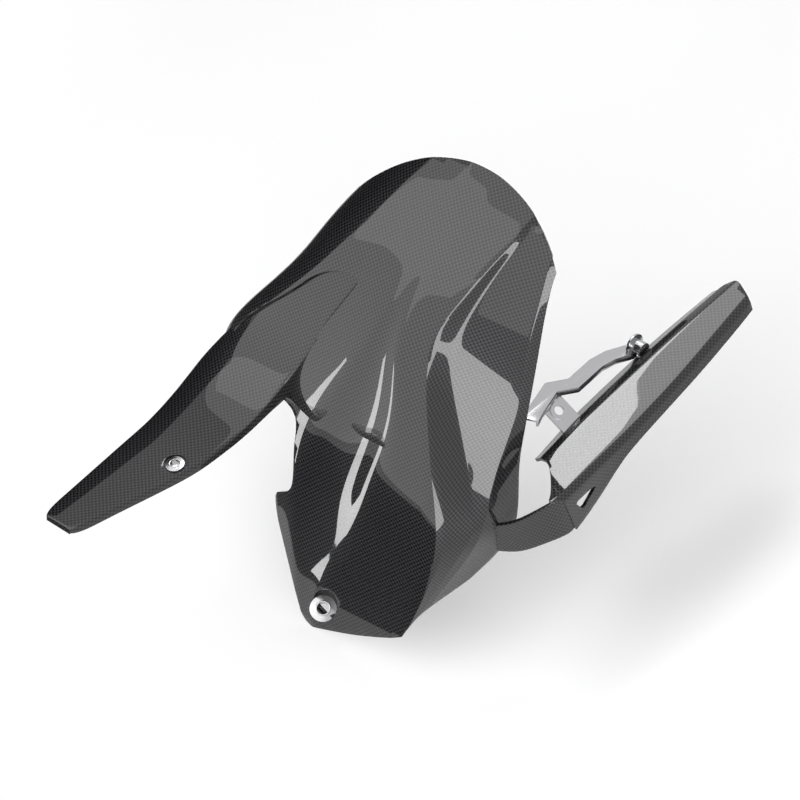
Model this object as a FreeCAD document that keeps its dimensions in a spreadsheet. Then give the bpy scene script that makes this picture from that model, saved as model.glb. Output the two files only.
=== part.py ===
import FreeCAD, Part
import math
import os

# A motorcycle rear hugger moulded in carbon laminate, with its chain guard, and the
# pressed steel stay beside the wheel. Millimetres. X points to the left of the
# motorcycle, Y to its rear and Z up. The origin is the bolt hole in the arm.
# Style lines are given from the wheel axle, which lies at axle_x, axle_y, axle_z.

doc = FreeCAD.newDocument("hugger")
sheet = doc.addObject("Spreadsheet::Sheet", "sizes")

SIZES = (
    ("laminate", 2.6), ("axle_x", 105), ("axle_y", 397), ("axle_z", -150),
    ("arch_radius", 347), ("bib_angle", 20),
    ("tail_radius", 140), ("tail_x", 12), ("tail_y", -286),
    ("arm_sink", 3.4), ("arm_bend", 120), ("arm_rise", 1.2), ("arm_leave", 36), ("arm_lip", 6), ("step_drop", 22),
    ("arm_bore", 7.4), ("arm_flange", 14.4), ("arm_dish", 18), ("arm_boss", 22), ("arm_seat", 4),
    ("front_x", -12), ("front_drop", 107), ("front_bore", 9.2), ("front_flange", 20.4),
    ("front_cup", 24), ("bush_wall", 1.2), ("bush_flange", 1.4),
    ("steel", 1.6), ("stay_width", 12), ("stay_depth", 5), ("stay_lean", 15.6),
    ("tab_width", 19), ("tab_length", 38), ("tab_bore", 7.2), ("tab_ring", 14), ("tab_lean", 34),
    ("tab_x", 88.4), ("tab_y", -189.7), ("tab_z", 144.8),
    ("ear_x", 85), ("ear_y", -104), ("ear_z", 137), ("ear_size", 17), ("collar_size", 11),
)
for row, (name, value) in enumerate(SIZES, start=1):
    sheet.set("A%d" % row, name)
    sheet.set("B%d" % row, str(value))
    sheet.setAlias("B%d" % row, name)
doc.recompute()


def size(name):
    return float(sheet.get(name))


laminate = size("laminate")
arch = size("arch_radius")
# the style lines were drawn over an arch of this radius, and stretch along and up with it
DRAWN_ARCH = 347
stretch = arch / DRAWN_ARCH
axle = FreeCAD.Vector(size("axle_x"), size("axle_y") * stretch, size("axle_z") * stretch)
bib_turn = math.radians(size("bib_angle"))
bib_down = FreeCAD.Vector(0, -math.sin(bib_turn), -math.cos(bib_turn))
bib_out = FreeCAD.Vector(0, -math.cos(bib_turn), math.sin(bib_turn))


def from_axle(across, along, up):
    # a drawn point, left of, behind and above the axle
    return axle + FreeCAD.Vector(across, along * stretch, up * stretch)


def on_arch(angle, across, height):
    # angle up from the front of the wheel, distance to the left, height over the arch
    turn = math.radians(angle)
    radius = arch + height * stretch
    return axle + FreeCAD.Vector(across, -radius * math.cos(turn), radius * math.sin(turn))


def on_bib(drop, across, height):
    # the straight lower bib leaves the arch on its tangent
    return axle + FreeCAD.Vector(across, 0, 0) + bib_out * (arch + height * stretch) + bib_down * drop * stretch


def inset(line, depth):
    # the open line moved to its right by depth, with mitred corners
    normals = []
    for (x0, y0), (x1, y1) in zip(line, line[1:]):
        run = math.hypot(x1 - x0, y1 - y0)
        normals.append(((y1 - y0) / run, -(x1 - x0) / run))
    before = normals[:1] + normals
    after = normals + normals[-1:]
    moved = []
    for (x, y), one, two in zip(line, before, after):
        share = depth / (1 + one[0] * two[0] + one[1] * two[1])
        moved.append((x + share * (one[0] + two[0]), y + share * (one[1] + two[1])))
    return moved


def curve(points):
    line = Part.BSplineCurve()
    line.interpolate(points)
    return line


def strip(rails):
    # a face through rails that share their stations: two give a ruled face, three a
    # face that bows through the middle one
    poles = [list(rail.getPoles()) for rail in rails]
    if len(rails) == 3:
        poles[1] = [2 * m - (a + b) * .5 for a, m, b in zip(*poles)]
    ends = [len(rails)] * 2
    width = sum((b - a).Length for a, b in zip(poles[0], poles[-1])) / len(poles[0])
    face = Part.BSplineSurface()
    face.buildFromPolesMultsKnots(list(zip(*poles)), rails[0].getMultiplicities(), ends,
                                  rails[0].getKnots(), [0, width], False, False, rails[0].Degree, len(rails) - 1)
    return face


def skin(stations, bow=None):
    # a laminate sheet through open section lines. Each station is a line of points and
    # the rule that places them; the points bow - 1, bow and bow + 1 are joined in a curve.
    sides = [[], []]
    for line, place in stations:
        sides[0].append([place(*p) for p in line])
        sides[1].append([place(*p) for p in inset(line, laminate)])
    marks = [0]
    for near, far in zip(sides[0], sides[0][1:]):
        marks.append(marks[-1] + max(5, sum((b - a).Length for a, b in zip(near, far)) / len(near)))
    rails = []
    for side in sides:
        rails.append([])
        for points in zip(*side):
            rail = Part.BSplineCurve()
            rail.interpolate(Points=list(points), Parameters=marks)
            rails[-1].append(rail)
    faces = []
    for set_of_rails in rails:
        for index in range(len(set_of_rails) - 1):
            if bow and index == bow:
                continue
            reach = 3 if bow and index == bow - 1 else 2
            faces.append(strip(set_of_rails[index:index + reach]))
    faces.append(strip([rails[0][0], rails[1][0]]))
    faces.append(strip([rails[0][-1], rails[1][-1]]))
    made = [face.toShape() for face in faces]
    for mark in (marks[0], marks[-1]):
        ring = [face.uIso(mark).toShape() for face in faces]
        made.append(Part.Face(Part.Wire(Part.__sortEdges__(ring))))
    sewn = Part.makeShell(made)
    sewn.sewShape()
    solid = Part.makeSolid(sewn)
    if solid.Volume < 0:
        solid.reverse()
    return solid


def feature(name, shape):
    made = doc.addObject("Part::Feature", name)
    made.Shape = shape
    return made


PLAN = FreeCAD.Rotation()
FRONT = FreeCAD.Rotation(FreeCAD.Vector(1, 0, 0), 90)
SIDE = FreeCAD.Rotation(FreeCAD.Vector(0, 1, 0), FreeCAD.Vector(0, 0, 1), FreeCAD.Vector(1, 0, 0), "ZXY")


def prism(name, turn, runs, start, length):
    # a closed outline drawn from the axle and pulled out; each run of three points or
    # more is a smooth curve, a run of two is a straight edge
    sketch = doc.addObject("Sketcher::SketchObject", name + "_outline")
    normal = turn.multVec(FreeCAD.Vector(0, 0, 1))
    sketch.Placement = FreeCAD.Placement(axle + normal * start, turn)
    first = stretch if turn is SIDE else 1
    for run in runs:
        points = [FreeCAD.Vector(x * first, y * stretch, 0) for x, y in run]
        if len(points) > 2:
            sketch.addGeometry(curve(points))
        else:
            sketch.addGeometry(Part.LineSegment(*points))
    pulled = doc.addObject("Part::Extrusion", name)
    pulled.Base = sketch
    pulled.DirMode = "Normal"
    pulled.LengthFwd = length
    pulled.Solid = True
    return pulled


def chain(*runs):
    # runs of outline points laid end to end and closed with a straight edge
    whole = list(runs)
    whole.append((runs[-1][-1], runs[0][0]))
    return whole


def less(name, base, *tools):
    for index, tool in enumerate(tools):
        cut = doc.addObject("Part::Cut", name if tool is tools[-1] else "%s_%d" % (name, index))
        cut.Base = base
        cut.Tool = tool
        base = cut
    return base


# Body sections from the tail to the foot of the bib. Each lists the right crease, the
# reach and fall of the rounded flank beyond it, then from right to left the valley beside
# the arm, the two ridges of the bib, the left crease, the foot of the step beside the
# scoop, the scoop rim and the left wall edge, as distance across and height over the arch.
TAIL_TO_BIB = (
    (68, (-30, -1), (30, 12), (-18, .8), (-5, 2.5), (25, 2.5), (62, -.5), (72, -2.5), (86, -5), (93, -8)),
    (60, (-45, -.5), (36, 14), (-25, 1.3), (-6, 3), (22, 3), (60, 0), (64, -2.5), (87, -7), (93, -12)),
    (55, (-56, 0), (36, 14), (-33, 1.4), (-8, 3), (15, 3.5), (51, 0), (54, -9), (88.5, -22), (92.5, -26)),
    (50, (-68, 0), (33, 13), (-40, 1.6), (-9, 3.5), (8, 4), (43.5, 0), (48, -11), (88.5, -33), (92.5, -41)),
    (45, (-80, 0), (28, 12), (-48, -1.6), (-11, 4), (6, 4.5), (33, 0), (42, -14.5), (88.5, -45), (92.5, -53)),
    (40, (-100, -1), (22, 9), (-61, -7), (-18, 4), (13, 5), (39, 0), (49, -19), (88.5, -56), (92.5, -61)),
    (35, (-122, -1), (18, 7), (-77, -9.5), (-28, 3), (26, 5), (53, 0), (65, -19), (88.5, -56), (92.5, -67)),
    (30, (-137, -2), (16, 6), (-93, -10), (-38, 2), (29, 5), (66, 0), (80, -20), (90, -50), (93.5, -69)),
    (25, (-130, -5), (15, 5), (-96, -9), (-46, 1), (23, 4), (79, 0), (93, -24), (95, -41), (97, -72)),
    (21, (-112, -9), (12, 4), (-88, -7), (-52, 0), (18, 3), (85, -.5), (98, -27), (99.5, -34), (100, -72)),
)
BIB = (
    (20, (-98, -9), (10, 4), (-80, -6), (-58, -1), (13, 2.5), (85, -.5), (90, -16), (93, -27), (98, -70)),
    (50, (-93, -9), (10, 4), (-76, -6), (-55, -1), (6, 3), (78, 0), (80.5, -6), (82, -11), (86, -30)),
    (90, (-84, -9), (10, 4), (-66, -5), (-45, 0), (-20, 4), (65, 0), (66, -2.7), (66.6, -4.3), (67, -6)),
    (140, (-70, -9), (10, 4), (-54, -4), (-38, 0), (-18, 3), (48, 0), (49, -2.7), (49.6, -4.3), (50, -6)),
)
wall_out = 3
wall_drop = 22
shoulder_reach = .53
shoulder_fall = .32


def body_line(right, flank, *others):
    side = (right[0] - flank[0], right[1] - flank[1])
    shoulder = (right[0] - flank[0] * shoulder_reach, right[1] - flank[1] * shoulder_fall)
    return [(side[0] - wall_out, side[1] - wall_drop), side, shoulder, right, *others]


def placer(rule, where):
    return lambda across, height: rule(where, across, height)


second_ridge = 6
stations = [(body_line(*line), placer(on_arch, angle)) for angle, *line in TAIL_TO_BIB]
stations += [(body_line(*line), placer(on_bib, drop)) for drop, *line in BIB]
body = feature("body", skin(stations, second_ridge))

# The tail is rounded in plan.
tail_block = doc.addObject("Part::Box", "tail_block")
tail_block.Length = 400
tail_block.Width = 300
tail_block.Height = 400
tail_block.Placement.Base = from_axle(-200, -240, 0)
tail_round = doc.addObject("Part::Cylinder", "tail_round")
tail_round.setExpression("Radius", "sizes.tail_radius")
tail_round.Height = 500
tail_round.Placement.Base = from_axle(size("tail_x"), size("tail_y"), -50)
tail_waste = less("tail_waste", tail_block, tail_round)

# The arm leaves the body in a sunken panel between the step beside the bib and the
# right crease.
PANEL_ARC = ((-44, -240), (-60, -241), (-80, -249), (-100, -265), (-129, -284))
panel = prism("panel_waste", PLAN, chain(
    ((-88, -316), (-79, -298), (-65, -274), (-48, -248), (-44, -240)),
    PANEL_ARC,
    ((-129, -284), (-164, -300)),
    ((-164, -300), (-200, -302)),
    ((-200, -302), (-200, -430)),
    ((-200, -430), (-88, -430))), 60, 240)

# Below the arm the bib has a free right edge, a slanted foot and an open left corner.
bib_edge = prism("bib_waste", FRONT, chain(
    ((-94, 155), (-80, 155), (-64, 152), (-59, 143), (-61, 129), (-67, 106), (-72, 85), (-65, 62), (-52, 46)),
    ((-52, 46), (-32, 4)),
    ((-32, 4), (-27, 0), (-20, -1)),
    ((-20, -1), (19, 12.5), (51, 25.6), (63, 32)),
    ((63, 32), (68, 42), (75, 54), (84, 61), (94, 66), (110, 68)),
    ((110, 68), (110, -60)),
    ((110, -60), (-200, -60)),
    ((-200, -60), (-200, 155))), 200, 250)
trimmed = less("trimmed_body", body, tail_waste, panel, bib_edge)

# The arm panel runs under the body, bends level and ends in a tapered tongue.
sink = arch - size("arm_sink")
leave = math.radians(size("arm_leave"))
level = size("arm_rise") - axle.z
bend = size("arm_bend") * stretch


def arm_line(depth):
    # the side view of the arm, depth below its top
    top = math.radians(54)
    radius = sink - depth
    turn = bend + depth
    height = level - depth
    start = (-radius * math.cos(leave), radius * math.sin(leave))
    slope = math.pi / 2 - leave
    fall = turn * (1 - math.cos(slope))
    run = (start[1] - height - fall) / math.tan(slope)
    first = (start[0] - run, height + fall)
    last = (first[0] - turn * math.sin(slope), height)
    half = slope / 2
    middle = (last[0] + turn * math.sin(half), height + turn * (1 - math.cos(half)))
    mean = (top + leave) / 2
    return [((-radius * math.cos(top), radius * math.sin(top)),
             (-radius * math.cos(mean), radius * math.sin(mean)), start),
            (start, first), (first, middle, last), (last, (-520 * stretch, height))]


def arm_profile(name, depth):
    # the arm as a slab across the full width, depth thick
    edges = []
    for side in (arm_line(0), arm_line(depth)):
        for run in side:
            places = [axle + FreeCAD.Vector(-175, y, z) for y, z in run]
            edges.append(Part.Arc(*places).toShape() if len(run) > 2 else Part.makeLine(*places))
    edges.append(Part.makeLine(edges[0].Vertexes[0].Point, edges[4].Vertexes[0].Point))
    edges.append(Part.makeLine(edges[3].Vertexes[-1].Point, edges[7].Vertexes[-1].Point))
    face = Part.Face(Part.Wire(Part.__sortEdges__(edges)))
    return feature(name, face.extrude(FreeCAD.Vector(160, 0, 0)))


ARM_EDGE = (
    ((-43, -230), (-45, -246), (-62, -273), (-74, -299), (-79, -321)),
    ((-79, -321), (-88, -376)),
    ((-88, -376), (-91, -396), (-103.5, -434), (-113.5, -462), (-119.5, -481)),
    ((-119.5, -481), (-123, -487), (-130, -489)),
    ((-130, -489), (-146, -489)),
    ((-146, -489), (-151, -488), (-153, -483)),
    ((-153, -483), (-153, -376)),
    ((-153, -376), (-155, -343), (-152, -315), (-142, -299), (-126, -276), (-108, -256), (-90, -235)),
)
arm_plan = prism("arm_plan", PLAN, chain(*ARM_EDGE), 90, 240)


def shrink(runs, depth):
    # the same outline drawn depth further in
    ring = [p for run in runs for p in run[:-1]] + [runs[-1][-1]]
    moved = inset(ring[-1:] + ring + ring[:1], depth)[1:-1]
    place = dict(zip(ring, moved))
    return [[place[p] for p in run] for run in runs]


arm_core = prism("arm_core", PLAN, chain(*shrink(ARM_EDGE, laminate)), 90, 240)
under_body = doc.addObject("Part::Box", "under_body")
under_body.Length = 160
under_body.Width = 60
under_body.Height = 240
under_body.Placement.Base = from_axle(-170, -256, 90)


def both(name, base, tool):
    made = doc.addObject("Part::Common", name)
    made.Base = base
    made.Tool = tool
    return made


arm_tongue = both("arm_tongue", arm_profile("arm_sheet", laminate), arm_plan)
arm_rim = both("arm_rim", less("arm_rim_slab", arm_profile("arm_slab", size("arm_lip")), arm_core, under_body), arm_plan)

# A step joins the arm panel to the bib below it, and another to the body above it.
step_zone = doc.addObject("Part::Box", "step_zone")
step_zone.Length = 70
step_zone.Width = 54
step_zone.Height = 240
step_zone.Placement.Base = from_axle(-106, -304, 90)
step_slab = less("step_slab", arm_profile("step_depth", size("step_drop")), arm_core)
bib_step = both("bib_step", both("bib_step_slab", step_slab, arm_plan), step_zone)
# At its outer edge the arm turns down to meet the end of the flank.
flank_zone = doc.addObject("Part::Box", "flank_zone")
flank_zone.Length = 60
flank_zone.Width = 40
flank_zone.Height = 240
flank_zone.Placement.Base = from_axle(-185, -322, 90)
flank_lip = both("flank_lip", both("flank_lip_slab", step_slab, arm_plan), flank_zone)
arc_back = [(x + 1, y + 1.6 * laminate) for x, y in PANEL_ARC]
arc_band = prism("arc_band", PLAN, chain(PANEL_ARC, (PANEL_ARC[-1], arc_back[-1]), arc_back[::-1]), 90, 240)
arc_outer = doc.addObject("Part::Cylinder", "arc_outer")
arc_outer.setExpression("Radius", "sizes.arch_radius - sizes.laminate * 0.6")
arc_inner = doc.addObject("Part::Cylinder", "arc_inner")
arc_inner.setExpression("Radius", "sizes.arch_radius - sizes.arm_sink - sizes.laminate * 0.7")
for drum in (arc_outer, arc_inner):
    drum.Height = 200
    drum.Placement = FreeCAD.Placement(axle + FreeCAD.Vector(-200, 0, 0), FreeCAD.Rotation(FreeCAD.Vector(0, 1, 0), 90))
body_step = both("body_step", less("arc_slab", arc_outer, arc_inner), arc_band)
arm_boss = doc.addObject("Part::Cylinder", "arm_boss")
arm_boss.setExpression("Radius", "sizes.arm_boss / 2")
arm_boss.setExpression("Height", "sizes.arm_seat + sizes.arm_rise - 0.2")
arm_boss.setExpression("Placement.Base.z", "-sizes.arm_seat")

# The chain guard is an open channel on the left, with a sloped lip towards the wheel.
# Each section: place along the motorcycle, lip, inner corner, outer corner, flange foot.
GUARD = (
    (-258, (98, 132), (106, 138.5), (142, 138), (144.5, 98)),
    (-244, (97, 131), (106, 139), (143, 138), (145.5, 99)),
    (-221, (95, 130.5), (105, 139.5), (142.5, 138), (145, 107)),
    (-204, (93, 130), (104, 139.5), (142, 138), (144.5, 114)),
    (-186, (91, 130), (103, 140), (142, 138), (144.5, 124)),
    (-160, (90, 130), (102.5, 140), (141, 138), (143.5, 127.5)),
    (-100, (90, 130), (102, 140), (136.5, 138), (139, 127.5)),
    (-62, (92, 130.5), (103, 140), (132.5, 138), (135, 128)),
    (-8, (97, 132), (105, 139.5), (126, 138), (128.5, 129)),
)
ease = 3


def at_length(along):
    return lambda x, z: from_axle(x, along, z)


guard_stations = []
for along, lip, inner, outer, foot in GUARD:
    line = [lip, (inner[0] - ease, inner[1] - ease * .8), (inner[0] + ease, inner[1]),
            (outer[0] - ease, outer[1]), (outer[0] + .4, outer[1] - ease), foot]
    guard_stations.append((line, at_length(along)))
guard = feature("guard", skin(guard_stations))
gap_waste = prism("gap_waste", PLAN, chain(
    ((84, -226), (105, -228), (112, -229.5), (120, -236), (131, -248), (138, -262)),
    ((138, -262), (138, -280)),
    ((138, -280), (84, -280))), 80, 80)
corner_waste = prism("corner_waste", PLAN, chain(
    ((148, -236), (145, -243), (141, -251), (135, -257)),
    ((135, -257), (135, -280)),
    ((135, -280), (170, -280)),
    ((170, -280), (170, -236))), 80, 80)
tip_waste = prism("tip_waste", PLAN, chain(
    ((80, -28), (100, -28)),
    ((100, -28), (103, -19), (109, -14), (118, -17), (131, -23)),
    ((131, -23), (150, -28)),
    ((150, -28), (150, 20)),
    ((150, 20), (80, 20))), 80, 80)
window = prism("window", SIDE, chain(
    ((-238, 124), (-232, 113)),
    ((-232, 113), (-212, 124))), 128, 30)
trimmed_guard = less("trimmed_guard", guard, gap_waste, corner_waste, tip_waste)

# The web sweeps from the left wall out to the guard: place in plan, foot and top.
WEB = (
    (89, -282, 76, 104), (101, -276.5, 77, 107), (113, -270.5, 79, 113),
    (128, -262, 90, 127), (139, -252, 96, 136), (143.6, -240, 97, 136),
)
web_plan = [(x, y) for x, y, low, high in WEB]
web_sections = []
for (x, y, low, high), (back_x, back_y) in zip(WEB, inset(web_plan, -laminate)):
    corners = [(x, y, low), (x, y, high), (back_x, back_y, high), (back_x, back_y, low)]
    web_sections.append(Part.makePolygon([from_axle(*c) for c in corners + corners[:1]]))
web = feature("web", Part.makeLoft(web_sections, True, False))

# The front bolt sits in a cup sunk in the foot of the bib.
cup_axis = FreeCAD.Vector(.32, -.3, .9)
cup_turn = FreeCAD.Rotation(FreeCAD.Vector(0, 0, 1), cup_axis)
cup_seat = on_bib(size("front_drop"), size("front_x"), 2)
cup_unit = FreeCAD.Vector(cup_axis).normalize()


def cup_cylinder(name, diameter, start, height):
    made = doc.addObject("Part::Cylinder", name)
    made.setExpression("Radius", diameter)
    made.setExpression("Height", height)
    made.Placement = FreeCAD.Placement(cup_seat + cup_unit * start, cup_turn)
    return made


cup_outer = cup_cylinder("cup_outer", "sizes.front_cup / 2 + sizes.laminate", -laminate, "1.25 * sizes.front_cup")
cup_back = doc.addObject("Part::Box", "cup_back")
cup_back.Length = 120
cup_back.Width = 120
cup_back.Height = 60
cup_back.Placement = FreeCAD.Placement(
    on_bib(size("front_drop") + 60, size("front_x") - 60, 3) - bib_out * 60,
    FreeCAD.Rotation(FreeCAD.Vector(1, 0, 0), -bib_down, bib_out, "ZXY"))
cup = doc.addObject("Part::Common", "cup")
cup.Base = cup_outer
cup.Tool = cup_back
cup_pocket = cup_cylinder("cup_pocket", "sizes.front_cup / 2", 0, "3 * sizes.front_cup")
front_hole = cup_cylinder("front_hole", "sizes.front_bore / 2 + sizes.bush_wall", -4 * laminate, "8 * sizes.laminate")
arm_recess = doc.addObject("Part::Cylinder", "arm_recess")
arm_recess.setExpression("Radius", "sizes.arm_dish / 2")
arm_recess.Height = 20
arm_hole = doc.addObject("Part::Cylinder", "arm_hole")
arm_hole.setExpression("Radius", "sizes.arm_bore / 2 + sizes.bush_wall")
arm_hole.Height = 40
arm_hole.Placement.Base.z = -20

joined = doc.addObject("Part::MultiFuse", "joined")
joined.Shapes = [trimmed, arm_tongue, arm_rim, bib_step, flank_lip, body_step, arm_boss, trimmed_guard, web, cup]
shell = less("hugger_shell", joined, window, cup_pocket, front_hole, arm_recess, arm_hole)
doc.recompute()


def main_piece(name, shape):
    # the largest piece left of a part that was cut back to the shell
    return feature(name, max(shape.Solids, key=lambda solid: solid.Volume))


# The stay is a pressed channel that jogs beside the tyre, in a plane falling to the rear.
STAY_PATH = ((92, -6), (87, 5), (76, 34), (84, 50), (79, 80), (80, 95), (86, 113))
stay_turn = FreeCAD.Rotation(FreeCAD.Vector(1, 0, 0), -size("stay_lean"))
stay_normal = stay_turn.multVec(FreeCAD.Vector(0, 0, 1))
stay_start = from_axle(0, -215, 165)


def stay_band(name, half, top, height):
    edge = inset(STAY_PATH, half) + inset(STAY_PATH, -half)[::-1]
    sketch = doc.addObject("Sketcher::SketchObject", name + "_outline")
    sketch.Placement = FreeCAD.Placement(stay_start + stay_normal * (top - height), stay_turn)
    for one, two in zip(edge, edge[1:] + edge[:1]):
        sketch.addGeometry(Part.LineSegment(FreeCAD.Vector(*one, 0), FreeCAD.Vector(*two, 0)))
    pulled = doc.addObject("Part::Extrusion", name)
    pulled.Base = sketch
    pulled.DirMode = "Normal"
    pulled.LengthFwd = height
    pulled.Solid = True
    return pulled


steel = size("steel")
stay_half = size("stay_width") / 2
stay_solid = stay_band("stay_solid", stay_half, 0, size("stay_depth"))
stay_hollow = stay_band("stay_hollow", stay_half - steel, -steel, size("stay_depth"))
stay_channel = less("stay_channel", stay_solid, stay_hollow)

tab_turn = FreeCAD.Rotation(FreeCAD.Vector(0, 1, 0), size("tab_lean"))
tab_place = from_axle(size("tab_x"), size("tab_y"), size("tab_z"))
tab_plate = doc.addObject("Part::Box", "tab_plate")
tab_plate.setExpression("Length", "sizes.tab_length")
tab_plate.setExpression("Width", "sizes.tab_width")
tab_plate.setExpression("Height", "sizes.steel")
tab_plate.Placement = FreeCAD.Placement(
    tab_place + tab_turn.multVec(FreeCAD.Vector(-18, -size("tab_width") / 2, -steel)), tab_turn)
tab_ring = doc.addObject("Part::Cylinder", "tab_ring")
tab_ring.setExpression("Radius", "sizes.tab_ring / 2")
tab_ring.setExpression("Height", "sizes.steel / 2")
tab_ring.Placement = FreeCAD.Placement(tab_place, tab_turn)
tab_hole = doc.addObject("Part::Cylinder", "tab_hole")
tab_hole.setExpression("Radius", "sizes.tab_bore / 2")
tab_hole.setExpression("Height", "4 * sizes.steel")
tab_hole.Placement = FreeCAD.Placement(tab_place - tab_turn.multVec(FreeCAD.Vector(0, 0, 2 * steel)), tab_turn)

ear_turn = FreeCAD.Rotation(FreeCAD.Vector(0, 1, 0), 90)
ear_place = from_axle(size("ear_x"), size("ear_y"), size("ear_z"))
ear = doc.addObject("Part::Cylinder", "ear")
ear.setExpression("Radius", "sizes.ear_size / 2")
ear.setExpression("Height", "sizes.steel")
ear.Placement = FreeCAD.Placement(ear_place, ear_turn)

stay_joined = doc.addObject("Part::MultiFuse", "stay_joined")
stay_joined.Shapes = [stay_channel, tab_plate, tab_ring, ear]
stay_fit = less("stay_fit", stay_joined, tab_hole, shell)
collar_pin = doc.addObject("Part::Cylinder", "collar_pin")
collar_pin.setExpression("Radius", "sizes.collar_size / 2")
collar_pin.Height = 9
collar_pin.Placement = FreeCAD.Placement(ear_place + FreeCAD.Vector(steel, 0, 0), ear_turn)
collar_fit = less("collar_fit", collar_pin, shell, stay_joined)
doc.recompute()
stay = main_piece("stay_bracket", stay_fit.Shape)
collar = main_piece("stay_collar", collar_fit.Shape)


# Both bolt holes are lined with flanged steel bushes.
def bush(name, bore, flange, seat, turn, reach):
    layers = []
    steps = (("flange", "%s / 2" % flange, "sizes.bush_flange", 0),
             ("shank", "%s / 2 + sizes.bush_wall" % bore, reach, -1),
             ("lip", "%s / 2 + sizes.bush_wall" % bore, "1.4 * sizes.bush_flange", 0))
    for step, radius, height, below in steps:
        layer = doc.addObject("Part::Cylinder", "%s_%s" % (name, step))
        layer.setExpression("Radius", radius)
        layer.setExpression("Height", height)
        doc.recompute()
        shift = turn.multVec(FreeCAD.Vector(0, 0, below * layer.Height.Value))
        layer.Placement = FreeCAD.Placement(seat + shift, turn)
        layers.append(layer)
    bush_solid = doc.addObject("Part::MultiFuse", name + "_solid")
    bush_solid.Shapes = layers
    hole = doc.addObject("Part::Cylinder", name + "_bore")
    hole.setExpression("Radius", "%s / 2" % bore)
    hole.Height = 60
    hole.Placement = FreeCAD.Placement(seat - turn.multVec(FreeCAD.Vector(0, 0, 30)), turn)
    return less(name, bush_solid, hole)


arm_bush = bush("arm_bush", "sizes.arm_bore", "sizes.arm_flange", FreeCAD.Vector(), PLAN, "sizes.arm_seat")
front_bush = bush("front_bush", "sizes.front_bore", "sizes.front_flange", cup_seat, cup_turn, "sizes.laminate")
doc.recompute()

nodes = (shell, stay, collar, arm_bush, front_bush)
for made in doc.Objects:
    if "Invalid" in made.State or "Error" in made.State:
        raise ValueError("failed: " + made.Name)
os.makedirs("parts", exist_ok=True)
for node in nodes:
    if node.Shape.isNull() or not node.Shape.isValid() or not node.Shape.Solids:
        raise ValueError("no sound shape: " + node.Name)
    node.Label = node.Name
    node.Shape.exportStep("parts/%s.step" % node.Name)
    print(node.Name, len(node.Shape.Solids), round(node.Shape.Volume), node.Shape.BoundBox)
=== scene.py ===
import math

import bmesh
import bpy
import numpy as np
from mathutils import Matrix, Vector


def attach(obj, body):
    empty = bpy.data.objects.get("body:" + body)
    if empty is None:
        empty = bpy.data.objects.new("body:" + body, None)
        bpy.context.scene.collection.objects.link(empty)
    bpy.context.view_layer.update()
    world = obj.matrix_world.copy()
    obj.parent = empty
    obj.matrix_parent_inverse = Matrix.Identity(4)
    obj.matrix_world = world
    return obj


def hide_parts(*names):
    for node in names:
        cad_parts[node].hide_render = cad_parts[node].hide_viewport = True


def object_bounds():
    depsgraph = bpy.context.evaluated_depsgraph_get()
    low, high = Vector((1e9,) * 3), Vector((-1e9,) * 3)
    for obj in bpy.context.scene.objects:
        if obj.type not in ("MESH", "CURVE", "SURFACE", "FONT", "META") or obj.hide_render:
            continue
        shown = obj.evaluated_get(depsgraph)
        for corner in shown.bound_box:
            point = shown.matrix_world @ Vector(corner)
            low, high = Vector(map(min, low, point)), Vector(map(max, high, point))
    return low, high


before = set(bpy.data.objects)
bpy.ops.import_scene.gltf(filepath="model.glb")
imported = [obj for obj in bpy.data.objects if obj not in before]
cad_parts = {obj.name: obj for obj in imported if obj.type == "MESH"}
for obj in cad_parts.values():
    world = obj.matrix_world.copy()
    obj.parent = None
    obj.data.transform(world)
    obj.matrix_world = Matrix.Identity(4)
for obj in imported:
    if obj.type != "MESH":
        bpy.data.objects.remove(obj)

cad_low, cad_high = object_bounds()


# Hugger body
# The rear hugger is one carbon laminate moulding that arches over the wheel and ends in a
# ridged bib. It is laid up in a mould, trimmed and finished in clear gloss lacquer.
MM = 0.001
WHEEL_AXLE = Vector((0.105, 0.397, -0.150))
LAMINATE = 2.6 * MM
EASED_EDGE = 0.5 * MM
EASED_FROM = math.radians(60)
SMOOTHING = 3
# The axle's place is in metres, and style lines and outlines are in millimetres from it:
# to the left, rearwards and up.
PLAN = (0, 1)
FRONT = (0, 2)
SIDE = (1, 2)
ARCH = 347
BIB_ANGLE = math.radians(20)
FLANK_WALL = (3, 22)
SHOULDER = (0.53, 0.32)
FLOOR_SHARES = (0.2, 0.85)
BODY_RAILS = ("foot", "side", "shoulder", "right", "valley", "ridge_a", "flute", "ridge_b", "left", "step",
              "floor_a", "floor_b", "rim", "edge")
BODY_CREASES = {"side": 0.3, "right": 0.5, "valley": 0.4, "ridge_a": 0.4, "ridge_b": 0.4,
                "left": 0.6, "step": 0.4, "rim": 0.45}
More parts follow.
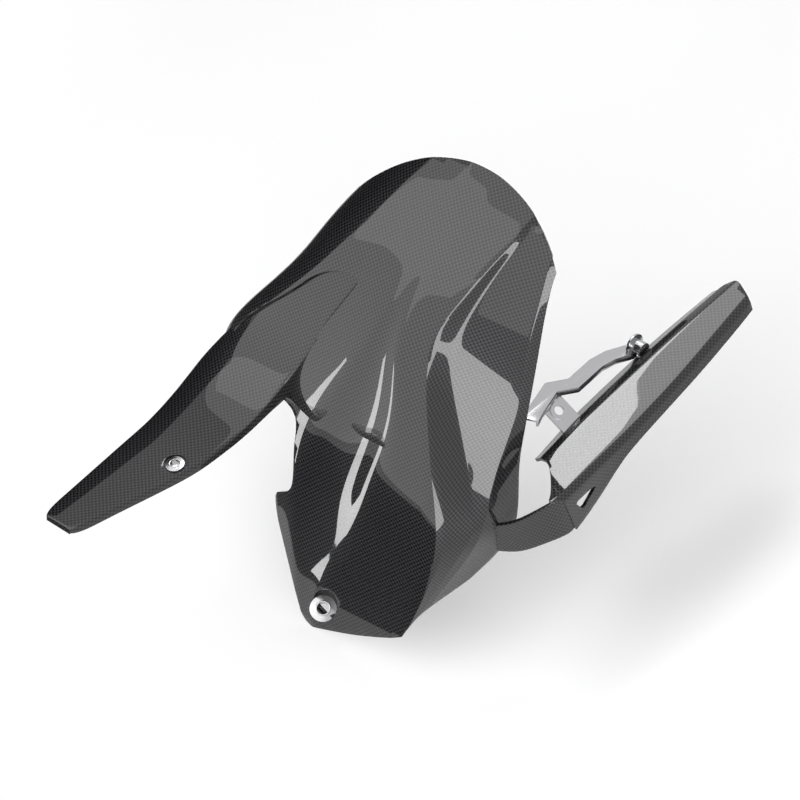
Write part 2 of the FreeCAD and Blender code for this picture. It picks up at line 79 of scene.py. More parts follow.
# Each section: the angle up from the front of the wheel, or the drop down the bib, then the
# right crease, the flank's reach and fall, the valley, both ridges, the left crease, the
# step, the rim and the edge, as distance to the left and height over the arch.
ARCH_SECTIONS = (
    (68, (-30, -1), (30, 12), (-18, .8), (-5, 2.5), (25, 2.5), (62, -.5), (72, -2.5), (86, -5), (93, -8)),
    (60, (-45, -.5), (36, 14), (-25, 1.3), (-6, 3), (22, 3), (60, 0), (64, -2.5), (87, -7), (93, -12)),
    (55, (-56, 0), (36, 14), (-33, 1.4), (-8, 3), (15, 3.5), (51, 0), (54, -9), (88.5, -22), (92.5, -26)),
    (50, (-68, 0), (33, 13), (-40, 1.6), (-9, 3.5), (8, 4), (43.5, 0), (48, -11), (88.5, -33), (92.5, -41)),
    (45, (-80, 0), (28, 12), (-48, -1), (-11, 4), (6, 4.5), (33, 0), (42, -14.5), (88.5, -45), (92.5, -53)),
    (40, (-100, -1), (22, 9), (-61, -4), (-18, 4), (13, 5), (39, 0), (49, -19), (88.5, -56), (92.5, -61)),
    (35, (-122, -1), (18, 7), (-77, -5.5), (-28, 3), (26, 5), (53, 0), (61, -26), (88.5, -56), (92.5, -67)),
    (30, (-137, -2), (16, 6), (-93, -6), (-38, 2), (29, 5), (66, 0), (74, -30), (90, -50), (93.5, -69)),
    (25, (-130, -5), (15, 5), (-96, -6), (-46, 1), (23, 4), (79, 0), (89.5, -29), (95, -41), (97, -72)),
    (21, (-112, -9), (12, 4), (-88, -5), (-52, 0), (18, 3), (85, -.5), (98, -27), (99.5, -34), (100, -72)),
)
BIB_SECTIONS = (
    (20, (-98, -9), (10, 4), (-80, -6), (-58, -1), (13, 2.5), (85, -.5), (90, -16), (93, -27), (98, -70)),
    (50, (-93, -9), (10, 4), (-76, -6), (-55, -1), (6, 3), (78, 0), (80.5, -6), (82, -11), (86, -30)),
    (90, (-84, -9), (10, 4), (-66, -5), (-45, 0), (-20, 4), (65, 0), (66, -2.7), (66.6, -4.3), (67, -6)),
    (140, (-70, -9), (10, 4), (-54, -4), (-38, 0), (-18, 3), (48, 0), (49, -2.7), (49.6, -4.3), (50, -6)),
)
# How deep the flute between the two ridges is at each section.
ARCH_FLUTE = (0, 0, 0, 0.5, 1.5, 3.5, 5, 6, 6, 5.5)
BIB_FLUTE = (4.5, 2, 0.5, 0)


def on_arch(angle, across, height):
    """A point over the wheel, in millimetres from the axle."""
    turn = math.radians(angle)
    return Vector((across, -(ARCH + height) * math.cos(turn), (ARCH + height) * math.sin(turn)))


def on_bib(drop, across, height):
    """A point on the straight bib, which leaves the arch on its tangent."""
    out = Vector((0, -math.cos(BIB_ANGLE), math.sin(BIB_ANGLE)))
    down = Vector((0, -math.sin(BIB_ANGLE), -math.cos(BIB_ANGLE)))
    return Vector((across, 0, 0)) + out * (ARCH + height) + down * drop


def between(one, two, share):
    """The point at that share of the way from one to two."""
    return tuple(a + (b - a) * share for a, b in zip(one, two))


def body_line(flute, right, flank, valley, ridge_a, ridge_b, left, step, rim, edge):
    """One section of the body from the right flank's foot to the left wall's edge."""
    side = (right[0] - flank[0], right[1] - flank[1])
    foot = (side[0] - FLANK_WALL[0], side[1] - FLANK_WALL[1])
    shoulder = (right[0] - flank[0] * SHOULDER[0], right[1] - flank[1] * SHOULDER[1])
    middle = between(ridge_a, ridge_b, 0.5)
    hollow = (middle[0], middle[1] - flute)
    floor = [between(step, rim, share) for share in FLOOR_SHARES]
    return [foot, side, shoulder, right, valley, ridge_a, hollow, ridge_b, left, step, *floor, rim, edge]


def laminate(name, rows, rails, creases, middle):
    """A smooth sheet over a grid of points, with a row for each section and a point for each rail.

    Creases map a rail to its sharpness, and the cloth is laid out from the middle rail.
    """
    sharpness = {rails.index(rail): value for rail, value in creases.items()}
    centre = rails.index(middle)
    form = bmesh.new()
    bmesh.ops.create_grid(form, x_segments=len(rails) - 1, y_segments=len(rows) - 1, size=1)
    cloth = form.loops.layers.uv.new("weave")
    crease = form.edges.layers.float.new("crease_edge")
    along = [0.0]
    for near, far in zip(rows, rows[1:]):
        along.append(along[-1] + (far[centre] - near[centre]).length)
    rail_of = {}
    cloth_at = {}
    for vert in form.verts:
        rail = round((vert.co.x + 1) / 2 * (len(rails) - 1))
        row = round((vert.co.y + 1) / 2 * (len(rows) - 1))
        line = rows[row]
        steps = [(b - a).length for a, b in zip(line, line[1:])]
        across = line[centre].x + (sum(steps[centre:rail]) - sum(steps[rail:centre]))
        rail_of[vert] = rail
        cloth_at[vert] = (across * MM, along[row] * MM)
        vert.co = WHEEL_AXLE + line[rail] * MM
    for edge in form.edges:
        one, two = (rail_of[vert] for vert in edge.verts)
        if one == two and one in sharpness:
            edge[crease] = sharpness[one]
    for face in form.faces:
        face.smooth = True
        for loop in face.loops:
            loop[cloth].uv = cloth_at[loop.vert]
    mesh = bpy.data.meshes.new(name)
    form.to_mesh(mesh)
    form.free()
    piece = bpy.data.objects.new(name, mesh)
    bpy.context.collection.objects.link(piece)
    smooth = piece.modifiers.new("smooth", "SUBSURF")
    smooth.levels = smooth.render_levels = SMOOTHING
    return piece


def curve_through(points, steps=8):
    """A smooth line through the points, or just the two ends of a straight run."""
    if len(points) < 3:
        return list(points)
    ends = [tuple(2 * a - b for a, b in zip(points[0], points[1])), *points,
            tuple(2 * a - b for a, b in zip(points[-1], points[-2]))]
    line = []
    for p0, p1, p2, p3 in zip(ends, ends[1:], ends[2:], ends[3:]):
        for i in range(steps):
            t = i / steps
            line.append(tuple(
                b + 0.5 * t * (c - a + t * (2 * a - 5 * b + 4 * c - d + t * (3 * (b - c) + d - a)))
                for a, b, c, d in zip(p0, p1, p2, p3)))
    return line + [points[-1]]


def outline_waste(outline, axes, limit=None):
    """Waste inside an outline, as a function of how far points lie outside it; negative is waste.

    The outline is a list of runs in the two axes named, straight between two points and
    smooth through more. A limit (axis, sign, edge) keeps the waste past that edge along the
    axis if the sign is 1, and short of it if the sign is -1.
    """
    ring = np.array([p for run in outline for p in curve_through(run)[:-1]], float)

    def distance(points):
        flat = points[:, axes]
        nearest = np.full(len(points), np.inf)
        within = np.zeros(len(points), bool)
        for a, b in zip(ring, np.roll(ring, -1, 0)):
            run = b - a
            share = np.clip((flat - a) @ run / (run @ run), 0, 1)
            nearest = np.minimum(nearest, np.linalg.norm(flat - a - share[:, None] * run, axis=1))
            if a[1] != b[1]:
                between_ends = (a[1] <= flat[:, 1]) != (b[1] <= flat[:, 1])
                within ^= between_ends & (flat[:, 0] < a[0] + (flat[:, 1] - a[1]) / run[1] * run[0])
        far = np.where(within, -nearest, nearest)
        if limit:
            axis, sign, edge = limit
            far = np.maximum(far, sign * (edge - points[:, axis]))
        return far
    return distance


def round_waste(centre, axis, radius):
    """The same for a round hole that starts at centre and runs along axis, in metres."""
    middle = np.array((Vector(centre) - WHEEL_AXLE) / MM)
    way = np.array(axis)

    def distance(points):
        off = points - middle
        past = off @ way
        return np.maximum(np.linalg.norm(off - past[:, None] * way, axis=1) - radius / MM, -past)
    return distance


def applied(piece):
    """The piece's mesh with its modifiers carried out."""
    bpy.context.view_layer.update()
    return bpy.data.meshes.new_from_object(piece.evaluated_get(bpy.context.evaluated_depsgraph_get()))


def moulded(piece, *wastes):
    """The smoothed sheet with each waste trimmed away and its thickness given; the piece goes."""
    sheet = applied(piece)
    form = bmesh.new()
    form.from_mesh(sheet)
    for waste in wastes:
        verts = list(form.verts)
        far = dict(zip(verts, waste(np.array([(v.co - WHEEL_AXLE) / MM for v in verts]))))
        seam = []
        for edge in list(form.edges):
            one, two = edge.verts
            if far[one] * far[two] < 0:
                seam.append(bmesh.utils.edge_split(edge, one, far[one] / (far[one] - far[two]))[1])
        bmesh.ops.connect_verts(form, verts=seam)
        bmesh.ops.delete(form, geom=[v for v in verts if far[v] < 0], context="VERTS")
    form.to_mesh(sheet)
    form.free()
    piece.modifiers.clear()
    piece.data = sheet
    thick = piece.modifiers.new("thick", "SOLIDIFY")
    thick.thickness = LAMINATE
    thick.offset = -1
    thick.use_even_offset = True
    eased = piece.modifiers.new("eased", "BEVEL")
    eased.affect = "EDGES"
    eased.width = EASED_EDGE
    eased.segments = 2
    eased.profile = 0.5
    eased.material = -1
    eased.limit_method = "ANGLE"
    eased.angle_limit = EASED_FROM
    mesh = applied(piece)
    bpy.data.objects.remove(piece)
    return mesh


body_rows = [[on_arch(angle, *p) for p in body_line(flute, *line)]
             for flute, (angle, *line) in zip(ARCH_FLUTE, ARCH_SECTIONS)]
body_rows += [[on_bib(drop, *p) for p in body_line(flute, *line)]
              for flute, (drop, *line) in zip(BIB_FLUTE, BIB_SECTIONS)]
body_rows.reverse()
body = laminate("body", body_rows, BODY_RAILS, BODY_CREASES, "ridge_a")

# The tail is an arc in plan, from 15 to 165 degrees, with the waste beyond it.
TAIL_CENTRE = (12, -286)
TAIL_RADIUS = 140
tail_ring = [(TAIL_CENTRE[0] + TAIL_RADIUS * math.cos(a), TAIL_CENTRE[1] + TAIL_RADIUS * math.sin(a))
             for a in (math.pi * i / 48 for i in range(4, 45))]
tail_waste = outline_waste([
    tail_ring, [tail_ring[-1], (-200, -240)], [(-200, -240), (-200, 60)], [(-200, 60), (200, 60)],
    [(200, 60), (200, -240)], [(200, -240), tail_ring[0]]], PLAN)

# The arm's panel is open in the body, between the step beside the bib and the right crease.
PANEL_FLOOR = 60
panel_waste = outline_waste([
    [(-88, -316), (-79, -298), (-65, -274), (-48, -248), (-44, -240)],
    [(-44, -240), (-60, -241), (-80, -249), (-100, -265), (-129, -284)],
    [(-129, -284), (-146, -302), (-160, -312)], [(-160, -312), (-200, -314)], [(-200, -314), (-200, -430)],
    [(-200, -430), (-88, -430)], [(-88, -430), (-88, -316)]], PLAN, (2, 1, PANEL_FLOOR))

# The bib has a notch and a shoulder on the right, a slanted foot and an open left corner.
BIB_BACK = -200
bib_waste = outline_waste([
    [(-94, 155), (-80, 155), (-66, 152), (-61, 143), (-60, 128), (-58, 108), (-58, 97)],
    [(-58, 97), (-62, 90), (-75, 80)], [(-75, 80), (-76, 74), (-71, 60), (-62, 46)],
    [(-62, 46), (-34, 4)], [(-34, 4), (-28, 0.9), (-20, 0)], [(-20, 0), (19, 12.5), (51, 25.6), (63, 32)],
    [(63, 32), (68, 42), (75, 54), (84, 61), (94, 66), (110, 68)], [(110, 68), (110, -60)],
    [(110, -60), (-200, -60)], [(-200, -60), (-200, 155)], [(-200, 155), (-94, 155)]],
    FRONT, (1, -1, BIB_BACK))

# A round hole in the bib's foot takes the cup of the front bolt.
CUP_DROP = 107
CUP_ACROSS = -12
CUP_HEIGHT = 2
CUP_AXIS = Vector((0.32, -0.3, 0.9)).normalized()
CUP_SEAT = WHEEL_AXLE + on_bib(CUP_DROP, CUP_ACROSS, CUP_HEIGHT) * MM
CUP_RADIUS = 12 * MM
cup_waste = round_waste(CUP_SEAT, CUP_AXIS, CUP_RADIUS)
shell_parts = [moulded(body, tail_waste, panel_waste, bib_waste, cup_waste)]


def linear(hexes):
    """An sRGB hex colour as linear RGBA."""
    parts = [int(hexes[i:i + 2], 16) / 255 for i in (0, 2, 4)]
    return tuple(p / 12.92 if p <= 0.04045 else ((p + 0.055) / 1.055) ** 2.4 for p in parts) + (1.0,)


def add(tree, kind, links=(), values=None, **settings):
    """Adds a node with its settings, its sockets' values and links from (socket, node, output)."""
    node = tree.nodes.new(kind)
    for name, value in settings.items():
        setattr(node, name, value)
    for socket, value in (values or {}).items():
        node.inputs[socket].default_value = value
    for socket, other, output in links:
        tree.links.new(node.inputs[socket], other.outputs[output])
    return node


# Plain weave carbon cloth under clear lacquer. The eye sees a fine chequer of near black and
# grey tows, half metallic, below a smooth coat that mirrors the room. Tows of this cloth are
# about 2 mm wide, and the coat leaves little of their relief.
TOW_WIDTH = 1.9 * MM
TOW_RISE = 0.2 * MM
TOW_DARK = "030304"
TOW_BRIGHT = "323234"
TOW_CONTRAST = 0.7
carbon = bpy.data.materials.new("lacquered_carbon_plain_weave")
carbon.use_nodes = True
tree = carbon.node_tree
tree.nodes.clear()
place = add(tree, "ShaderNodeUVMap", uv_map="weave")
tows = add(tree, "ShaderNodeVectorMath", [(0, place, "UV")], {"Scale": math.pi / TOW_WIDTH},
           operation="SCALE")
apart = add(tree, "ShaderNodeSeparateXYZ", [(0, tows, 0)])
across = add(tree, "ShaderNodeMath", [(0, apart, "X")], operation="SINE")
along = add(tree, "ShaderNodeMath", [(0, apart, "Y")], operation="SINE")
crossing = add(tree, "ShaderNodeMath", [(0, across, 0), (1, along, 0)], operation="MULTIPLY")
shade = add(tree, "ShaderNodeMapRange", [("Value", crossing, 0)],
            {"From Min": -TOW_CONTRAST, "From Max": TOW_CONTRAST})
tone = add(tree, "ShaderNodeMix", [("Factor", shade, 0)],
           {"A": linear(TOW_DARK), "B": linear(TOW_BRIGHT)}, data_type="RGBA")
lift = add(tree, "ShaderNodeBump", [("Height", crossing, 0)], {"Strength": 0.35, "Distance": TOW_RISE})
gloss = add(tree, "ShaderNodeBsdfPrincipled", [("Base Color", tone, "Result"), ("Normal", lift, 0)],
            {"Metallic": 0.55, "Roughness": 0.42, "Specular IOR Level": 0.1,
             "Coat Weight": 1.0, "Coat Roughness": 0.02, "Coat IOR": 1.45})
add(tree, "ShaderNodeOutputMaterial", [("Surface", gloss, 0)])


# Arm
# The arm leaves the body in a sunken panel, sweeps level and ends in a bolted tongue. Its
# edges are turned down, deepest beside the bib, and a dished boss backs its bolt hole.
ARM_SINK = 3.4
ARM_LEVEL = 151.2
ARM_BEND = 120
ARM_BEND_END = -375.9
ARM_MEETS_ARCH = -279
ARM_RAILS = ("outer_lip", "outer", "quarter", "crown", "round", "inner", "inner_lip")
ARM_CREASES = {"outer": 0.5, "round": 0.3, "inner": 0.55}
# Each section: place along the motorcycle, inner edge, outer edge, inner lip, outer fall
# and outer lip.
ARM_SECTIONS = (
    (-488, -125, -150, 5, 1, 4), (-481, -119.5, -153, 5, 1.5, 4), (-462, -113.5, -153, 5, 2, 4),
    (-434, -103.5, -153, 5, 2.5, 4), (-396, -91, -153, 6, 3, 4), (-376, -88, -153, 6, 4, 5),
    (-345, -82.5, -155, 7, 6, 6), (-321, -79, -155.5, 9, 8, 10), (-308, -76, -153, 14, 9, 15),
    (-296, -72.5, -147.5, 16, 9, 16), (-284, -67, -138, 14, 8, 10), (-272, -61, -127, 11, 7, 6),
    (-258, -52, -112, 8, 6, 5), (-244, -44.5, -98, 6, 5, 4), (-232, -43, -88, 5, 4, 4),
)
# Lean of both lips, share of the width and fall at the quarter, share at the crown, and the
# width and fall of the inner edge's round.
OUTER_LEAN = 1
INNER_LEAN = 0.5
ARM_QUARTER = (0.25, 0.5)
ARM_CROWN = 0.55
ARM_ROUND = (3, 1)
# The tongue's end narrows by a share and a shift, and folds down in two steps: forward, down.
TIP_SHARE = 0.9
TIP_SHIFT = -14
TIP_FOLDS = ((0.5, 1.2), (0.9, 6))


def arm_top(along):
    """Height of the arm over the axle at that place along the motorcycle."""
    if along < ARM_BEND_END:
        return ARM_LEVEL
    if along >= ARM_MEETS_ARCH:
        return math.sqrt((ARCH - ARM_SINK) ** 2 - along ** 2)
    return ARM_LEVEL + ARM_BEND - math.sqrt(ARM_BEND ** 2 - (along - ARM_BEND_END) ** 2)


def drum(centre, axis, radius, length, segments=64):
    """A round block from centre along axis, in metres."""
    form = bmesh.new()
    turn = Vector(axis).to_track_quat("Z", "Y").to_matrix().to_4x4()
    bmesh.ops.create_cone(form, cap_ends=True, segments=segments, radius1=radius, radius2=radius,
                          depth=length)
    bmesh.ops.translate(form, verts=form.verts, vec=(0, 0, length / 2))
    bmesh.ops.transform(form, verts=form.verts, matrix=Matrix.Translation(centre) @ turn)
    mesh = bpy.data.meshes.new("drum")
    form.to_mesh(mesh)
    form.free()
    return bpy.data.objects.new("drum", mesh)


def bored(piece, *blocks):
    """A solid block with other blocks cut from it; the blocks go."""
    bpy.context.collection.objects.link(piece)
    for block in blocks:
        bpy.context.collection.objects.link(block)
        step = piece.modifiers.new("bore", "BOOLEAN")
        step.operation = "DIFFERENCE"
        step.object = block
        step.solver = "EXACT"
    mesh = applied(piece)
    for block in (piece, *blocks):
        bpy.data.objects.remove(block)
    return mesh


arm_rows = []
for place_along, inner, outer, inner_lip, fall, outer_lip in ARM_SECTIONS:
    top = arm_top(place_along)
    wide = inner - outer
    arm_rows.append([Vector((x, place_along, top - down)) for x, down in (
        (outer - OUTER_LEAN, fall + outer_lip), (outer, fall),
        (outer + ARM_QUARTER[0] * wide, ARM_QUARTER[1]), (outer + ARM_CROWN * wide, 0),
        (inner - ARM_ROUND[0], 0), (inner, ARM_ROUND[1]), (inner + INNER_LEAN, inner_lip))])
tip = arm_rows[0]
for forward, down in TIP_FOLDS:
    arm_rows.insert(0, [Vector((p.x * TIP_SHARE + TIP_SHIFT, p.y - forward, min(p.z, ARM_LEVEL - down)))
                        for p in tip])
arm = laminate("arm", arm_rows, ARM_RAILS, ARM_CREASES, "crown")

ARM_BOLT = Vector((0, 0, 0))
BOLT_AXIS = Vector((0, 0, 1))
ARM_BORE = 4.9 * MM
ARM_DISH = 9 * MM
ARM_BOSS = 11 * MM
BOSS_BELOW = 4 * MM
BOSS_HEIGHT = 4.8 * MM
CUTTER = 20 * MM
shell_parts.append(moulded(arm, round_waste(ARM_BOLT, BOLT_AXIS, ARM_DISH)))
shell_parts.append(bored(drum(ARM_BOLT - BOLT_AXIS * BOSS_BELOW, BOLT_AXIS, ARM_BOSS, BOSS_HEIGHT),
                         drum(ARM_BOLT, BOLT_AXIS, ARM_DISH, CUTTER),
                         drum(ARM_BOLT - BOLT_AXIS * CUTTER, BOLT_AXIS, ARM_BORE, 2 * CUTTER)))


# Front cup
# A round laminate cup is sunk in the bib's foot, with a flat floor for the front bolt. It is
# moulded with the bib and trimmed flush with it.
BUSH_RADIUS = 5.8 * MM
CUP_DEPTH = 22 * MM
CUP_TRIM = 50 * MM
BIB_FACE_HEIGHT = 2.2
BIB_NORMAL = on_bib(0, 0, 1) - on_bib(0, 0, 0)
bib_face = WHEEL_AXLE + on_bib(CUP_DROP, CUP_ACROSS, BIB_FACE_HEIGHT) * MM
shell_parts.append(bored(
    drum(CUP_SEAT + CUP_AXIS * -LAMINATE, CUP_AXIS, CUP_RADIUS + LAMINATE, CUP_DEPTH),
    drum(CUP_SEAT, CUP_AXIS, CUP_RADIUS, 3 * CUTTER),
    drum(CUP_SEAT + CUP_AXIS * -CUTTER, CUP_AXIS, BUSH_RADIUS, 2 * CUTTER),
    drum(bib_face, BIB_NORMAL, CUP_TRIM, CUP_TRIM)))


# Chain guard and web
# The chain guard is a long open channel beside the tyre, moulded in one with the body; a
# curved web with a small window carries it from the left wall.
GUARD_EASE = 3
GUARD_LIP_FALL = 2.4
GUARD_LEAN = 0.4
GUARD_RAILS = ("lip", "inner_low", "inner_top", "outer_top", "outer_low", "foot")
GUARD_CREASES = {"inner_low": 0.5, "inner_top": 0.5, "outer_top": 0.5, "outer_low": 0.5}
# Each section: place along the motorcycle, lip, inner corner, outer corner and foot.
GUARD_SECTIONS = (
    (-258, (98, 132), (106, 138.5), (142, 138), (144.5, 98)),
    (-244, (97, 131), (106, 139), (143, 138), (145.5, 99)),
    (-221, (95, 130.5), (105, 139.5), (142.5, 138), (145, 107)),
    (-204, (93, 130), (104, 139.5), (142, 138), (144.5, 114)),
    (-186, (91, 130), (103, 140), (142, 138), (144.5, 124)),
    (-160, (90, 130), (102.5, 140), (141, 138), (143.5, 127.5)),
    (-100, (90, 130), (102, 140), (136.5, 138), (139, 127.5)),
    (-62, (92, 130.5), (103, 140), (132.5, 138), (135, 128)),
    (-8, (97, 132), (105, 139.5), (126, 138), (128.5, 129)),
)
guard_rows = []
for place_along, lip, inner, outer, foot in GUARD_SECTIONS:
    line = (lip, (inner[0] - GUARD_EASE, inner[1] - GUARD_LIP_FALL), (inner[0] + GUARD_EASE, inner[1]),
            (outer[0] - GUARD_EASE, outer[1]), (outer[0] + GUARD_LEAN, outer[1] - GUARD_EASE), foot)
    guard_rows.append([Vector((x, place_along, z)) for x, z in line])
guard = laminate("guard", guard_rows, GUARD_RAILS, GUARD_CREASES, "inner_top")
front_waste = outline_waste([
    [(84, -226), (105, -228), (112, -229.5), (120, -236), (131, -248), (136.5, -257)],
    [(136.5, -257), (141, -251), (145, -243), (148, -236)], [(148, -236), (170, -236)],
    [(170, -236), (170, -280)], [(170, -280), (84, -280)], [(84, -280), (84, -226)]], PLAN)
tip_waste = outline_waste([
    [(80, -28), (100, -28)], [(100, -28), (103, -19), (109, -14), (118, -17), (131, -23)],
    [(131, -23), (150, -28)], [(150, -28), (150, 20)], [(150, 20), (80, 20)], [(80, 20), (80, -28)]], PLAN)
WINDOW_WALL = 128
window_waste = outline_waste([
    [(-238, 124), (-232, 113)], [(-232, 113), (-212, 124)], [(-212, 124), (-238, 124)]],
    SIDE, (0, 1, WINDOW_WALL))
shell_parts.append(moulded(guard, front_waste, tip_waste, window_waste))

# Each section of the web: place in plan, foot and top.
WEB_SECTIONS = (
    (89, -282, 76, 104), (101, -276.5, 77, 107), (113, -270.5, 79, 113),
    (128, -262, 90, 127), (139, -252, 96, 136), (143.6, -240, 97, 136),
)
web_rows = [[Vector((x, y, low * (1 - t) + high * t)) for x, y, low, high in WEB_SECTIONS]
            for t in (0, 0.5, 1)]
web = laminate("web", web_rows, range(len(WEB_SECTIONS)), {}, 2)
shell_parts.append(moulded(web))


# Whole moulding
# Body, arm, cup, guard and web come out of one mould as one piece, so they share one mesh,
# one cloth and one coat of lacquer.
HARD_EDGE = math.radians(35)
form = bmesh.new()
for part in shell_parts:
    form.from_mesh(part)
for face in form.faces:
    face.smooth = True
for edge in form.edges:
    edge.smooth = edge.is_manifold and edge.calc_face_angle(0) < HARD_EDGE
mesh = bpy.data.meshes.new("carbon_moulding")
form.to_mesh(mesh)
form.free()
shell = bpy.data.objects.new("carbon_moulding", mesh)
bpy.context.collection.objects.link(shell)
mesh.materials.clear()
mesh.materials.append(carbon)
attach(shell, "root")
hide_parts("hugger_shell")


# Stay and bushes
# The stay is a pressed steel channel with a tab, and an ear that holds a collar. Both bolt
# holes of the moulding are lined with turned steel bushes.
SHARP_ANGLE = math.radians(32)
FLAT_ANGLE = math.radians(1)
BROKEN_EDGE = 0.5 * MM
WELD = 0.002 * MM
SLIVER = 0.001 * MM


def merged_copy(node, name):
    """A copy of a CAD node's mesh with its triangles joined and its sharp edges broken."""
    form = bmesh.new()
    form.from_mesh(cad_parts[node].data)
    bmesh.ops.remove_doubles(form, verts=form.verts, dist=WELD)
    bmesh.ops.dissolve_degenerate(form, edges=form.edges, dist=SLIVER)
    bmesh.ops.dissolve_limit(form, angle_limit=FLAT_ANGLE, verts=form.verts, edges=form.edges)
    hard = [e for e in form.edges if e.is_manifold and e.calc_face_angle(0) > SHARP_ANGLE]
    bmesh.ops.bevel(form, geom=hard, offset=BROKEN_EDGE, offset_type="OFFSET", affect="EDGES", segments=2,
                    profile=0.5, material=-1, clamp_overlap=True)
    for face in form.faces:
        face.smooth = True
    for edge in form.edges:
        edge.smooth = edge.is_manifold and edge.calc_face_angle(0) < SHARP_ANGLE
    mesh = bpy.data.meshes.new(name)
    form.to_mesh(mesh)
    form.free()
    return mesh


# Bright steel as pressed and turned. The eye sees a pale mirror that is slightly uneven; its
# real grain is too fine to show, so the unevenness is drawn 2.5 mm coarse.
STEEL_GRAIN = 2.5 * MM
STEEL_COLOUR = "B0B0B2"
steel = bpy.data.materials.new("bright_pressed_steel")
steel.use_nodes = True
tree = steel.node_tree
tree.nodes.clear()
place = add(tree, "ShaderNodeTexCoord")
grain = add(tree, "ShaderNodeTexNoise", [("Vector", place, "Object")],
            {"Scale": 1 / STEEL_GRAIN, "Detail": 4})
rough = add(tree, "ShaderNodeMapRange", [("Value", grain, 0)], {"To Min": 0.14, "To Max": 0.3})
metal = add(tree, "ShaderNodeBsdfPrincipled", [("Roughness", rough, 0)],
            {"Base Color": linear(STEEL_COLOUR), "Metallic": 1.0})
add(tree, "ShaderNodeOutputMaterial", [("Surface", metal, 0)])

for node, name, slot in (("stay_bracket", "steel_stay", "steel"), ("stay_collar", "steel_collar", "steel"),
                         ("arm_bush", "arm_bush_ring", "bush"), ("front_bush", "front_bush_ring", "bush")):
    mesh = merged_copy(node, name)
    piece = bpy.data.objects.new(name, mesh)
    bpy.context.collection.objects.link(piece)
    mesh.materials.append(steel)
    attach(piece, "root")
    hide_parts(node)


# Studio
# A disc of pale paper lies under the part in a white surround. Six soft boxes light it, and
# two black cards, which the camera doesn't see, give the lacquer its dark reflections.
FLOOR_DROP = 0.004
FLOOR_RADIUS = 0.7
FLOOR_CENTRE = (0.1, 0.65)
FLOOR_FADE = 0.16
floor_middle = (*FLOOR_CENTRE, cad_low.z - FLOOR_DROP)
floor_mesh = bpy.data.meshes.new("studio_floor")
form = bmesh.new()
bmesh.ops.create_circle(form, cap_ends=True, segments=128, radius=FLOOR_RADIUS)
bmesh.ops.translate(form, verts=form.verts, vec=floor_middle)
form.to_mesh(floor_mesh)
form.free()
floor = bpy.data.objects.new("studio_floor", floor_mesh)
bpy.context.collection.objects.link(floor)


def seen_rays(tree):
    """1 for rays from the camera, or mirrored or passed through to it, and 0 for the light's own."""
    rays = add(tree, "ShaderNodeLightPath")
    mirrored = add(tree, "ShaderNodeMath", [(0, rays, "Is Camera Ray"), (1, rays, "Is Glossy Ray")],
                   operation="MAXIMUM")
    return add(tree, "ShaderNodeMath", [(0, mirrored, 0), (1, rays, "Is Transmission Ray")],
               operation="MAXIMUM")


# Matt white paper takes a soft shadow without shine, and fades into the surround at its rim.
PAPER_COLOUR = "F8F8F8"
paper = bpy.data.materials.new("matt_white_paper")
paper.use_nodes = True
tree = paper.node_tree
tree.nodes.clear()
place = add(tree, "ShaderNodeTexCoord")
from_middle = add(tree, "ShaderNodeVectorMath", [(0, place, "Object")], {1: floor_middle},
                  operation="DISTANCE")
rim = add(tree, "ShaderNodeMapRange", [("Value", from_middle, "Value")],
          {"From Min": FLOOR_RADIUS - FLOOR_FADE, "From Max": FLOOR_RADIUS}, interpolation_type="SMOOTHSTEP")
fade = add(tree, "ShaderNodeMath", [(0, rim, 0), (1, seen_rays(tree), 0)], operation="MULTIPLY")
matt = add(tree, "ShaderNodeBsdfDiffuse", values={"Color": linear(PAPER_COLOUR)})
white = add(tree, "ShaderNodeEmission", values={"Strength": 1.0})
blend = add(tree, "ShaderNodeMixShader", [(0, fade, 0), (1, matt, 0), (2, white, 0)])
add(tree, "ShaderNodeOutputMaterial", [("Surface", blend, 0)])
floor_mesh.materials.append(paper)

SURROUND_LIGHT = 0.45
world = bpy.data.worlds.new("studio")
bpy.context.scene.world = world
world.use_nodes = True
tree = world.node_tree
tree.nodes.clear()
level = add(tree, "ShaderNodeMapRange", [("Value", seen_rays(tree), 0)],
            {"To Min": SURROUND_LIGHT, "To Max": 1.0})
sky = add(tree, "ShaderNodeBackground", [("Strength", level, 0)], {"Color": linear("FFFFFF")})
add(tree, "ShaderNodeOutputWorld", [("Surface", sky, 0)])


def compass(bearing, rise):
    """A direction: bearing in degrees from the front towards the right, rise over the level."""
    b, r = math.radians(bearing), math.radians(rise)
    return Vector((-math.sin(b) * math.cos(r), -math.cos(b) * math.cos(r), math.sin(r)))


def soft_box(name, lit, direction, distance, width, height, radiance):
    """A soft box of that radiance, which faces the lit place from that direction, in metres."""
    lamp = bpy.data.lights.new(name, "AREA")
    lamp.shape = "RECTANGLE"
    lamp.size = width
    lamp.size_y = height
    lamp.energy = radiance * math.pi * width * height
    box = bpy.data.objects.new(name, lamp)
    way = direction.normalized()
    box.location = WHEEL_AXLE + Vector(lit) + way * distance
    box.rotation_mode = "QUATERNION"
    box.rotation_quaternion = way.to_track_quat("Z", "Y")
    box.visible_camera = False
    bpy.context.collection.objects.link(box)


soft_box("guard_light", (0.13, -0.255, 0.138), Vector((-0.45, 0.42, 0.79)), 1.5, 0.30, 0.44, 9)
soft_box("guard_fill", (0.12, -0.135, 0.138), compass(137, 53), 1.6, 0.6, 0.45, 4)
soft_box("front_light", (0.0, -0.27, 0.20), compass(17, 27), 1.6, 2.72, 2.5, 1.1)
soft_box("tail_light", (0.0, -0.20, 0.28), compass(48, 56), 1.7, 1.4, 1.65, 1.1)
soft_box("scoop_light", (0.07, -0.24, 0.19), compass(-60, 7), 1.4, 1.3, 0.7, 7.5)
soft_box("strip_light", (0.0, -0.30, 0.15), compass(45, -6), 1.4, 0.09, 0.75, 9)

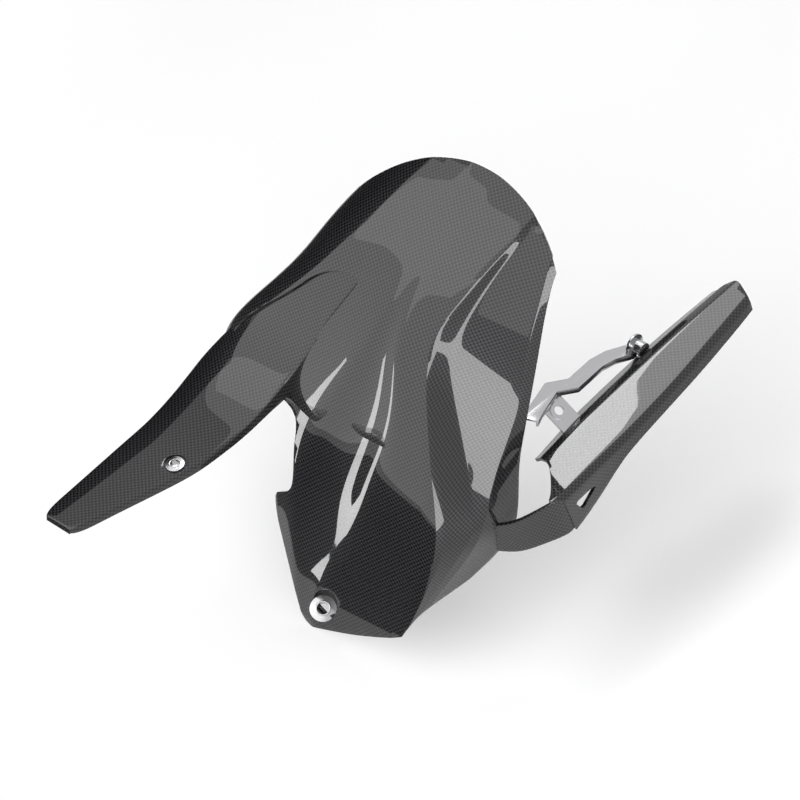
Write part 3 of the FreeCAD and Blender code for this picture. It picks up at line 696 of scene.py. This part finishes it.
# Black velvet on card swallows the light that falls on it, so its reflection is near black.
VELVET_COLOUR = "0A0A0A"
velvet = bpy.data.materials.new("black_velvet")
velvet.use_nodes = True
tree = velvet.node_tree
tree.nodes.clear()
pile = add(tree, "ShaderNodeBsdfDiffuse", values={"Color": linear(VELVET_COLOUR)})
add(tree, "ShaderNodeOutputMaterial", [("Surface", pile, 0)])


def black_flag(name, shaded, direction, distance, width, height):
    """A black card that keeps the white surround out of the lacquer, placed as a soft box is."""
    way = direction.normalized()
    place = Matrix.Translation(WHEEL_AXLE + Vector(shaded) + way * distance)
    turn = (-way).to_track_quat("Z", "Y").to_matrix().to_4x4()
    form = bmesh.new()
    bmesh.ops.create_grid(form, x_segments=1, y_segments=1, size=0.5)
    bmesh.ops.scale(form, verts=form.verts, vec=(width, height, 1))
    bmesh.ops.transform(form, verts=form.verts, matrix=place @ turn)
    mesh = bpy.data.meshes.new(name)
    form.to_mesh(mesh)
    form.free()
    mesh.materials.append(velvet)
    flag = bpy.data.objects.new(name, mesh)
    flag.visible_camera = False
    bpy.context.collection.objects.link(flag)


black_flag("right_flag", (-0.08, -0.25, 0.22), compass(93, 14), 1.5, 1.95, 1.6)
black_flag("front_flag", (0.0, -0.33, 0.08), compass(35, -26), 1.7, 2.6, 1.0)


# Camera
# The camera looks down from the front left through a long lens.
AIM = Vector((0.0876, 0.1486, -0.0088))
PICTURE_WIDTH = 0.5874
CAMERA_DISTANCE = 6.0
CAMERA_RIGHT = Vector((0.7322, 0.6669, -0.1385))
CAMERA_UP = Vector((-0.4357, 0.6149, 0.6573))
CAMERA_BACK = Vector((0.5235, -0.4209, 0.7408))
lens = bpy.data.cameras.new("camera")
lens.sensor_width = 36
lens.lens = lens.sensor_width * CAMERA_DISTANCE / PICTURE_WIDTH
lens.clip_end = 100
camera = bpy.data.objects.new("camera", lens)
turn = Matrix((CAMERA_RIGHT, CAMERA_UP, CAMERA_BACK)).transposed().to_4x4()
camera.matrix_world = Matrix.Translation(AIM + CAMERA_BACK * CAMERA_DISTANCE) @ turn
bpy.context.collection.objects.link(camera)
bpy.context.scene.camera = camera
bpy.context.scene.view_settings.view_transform = "Standard"
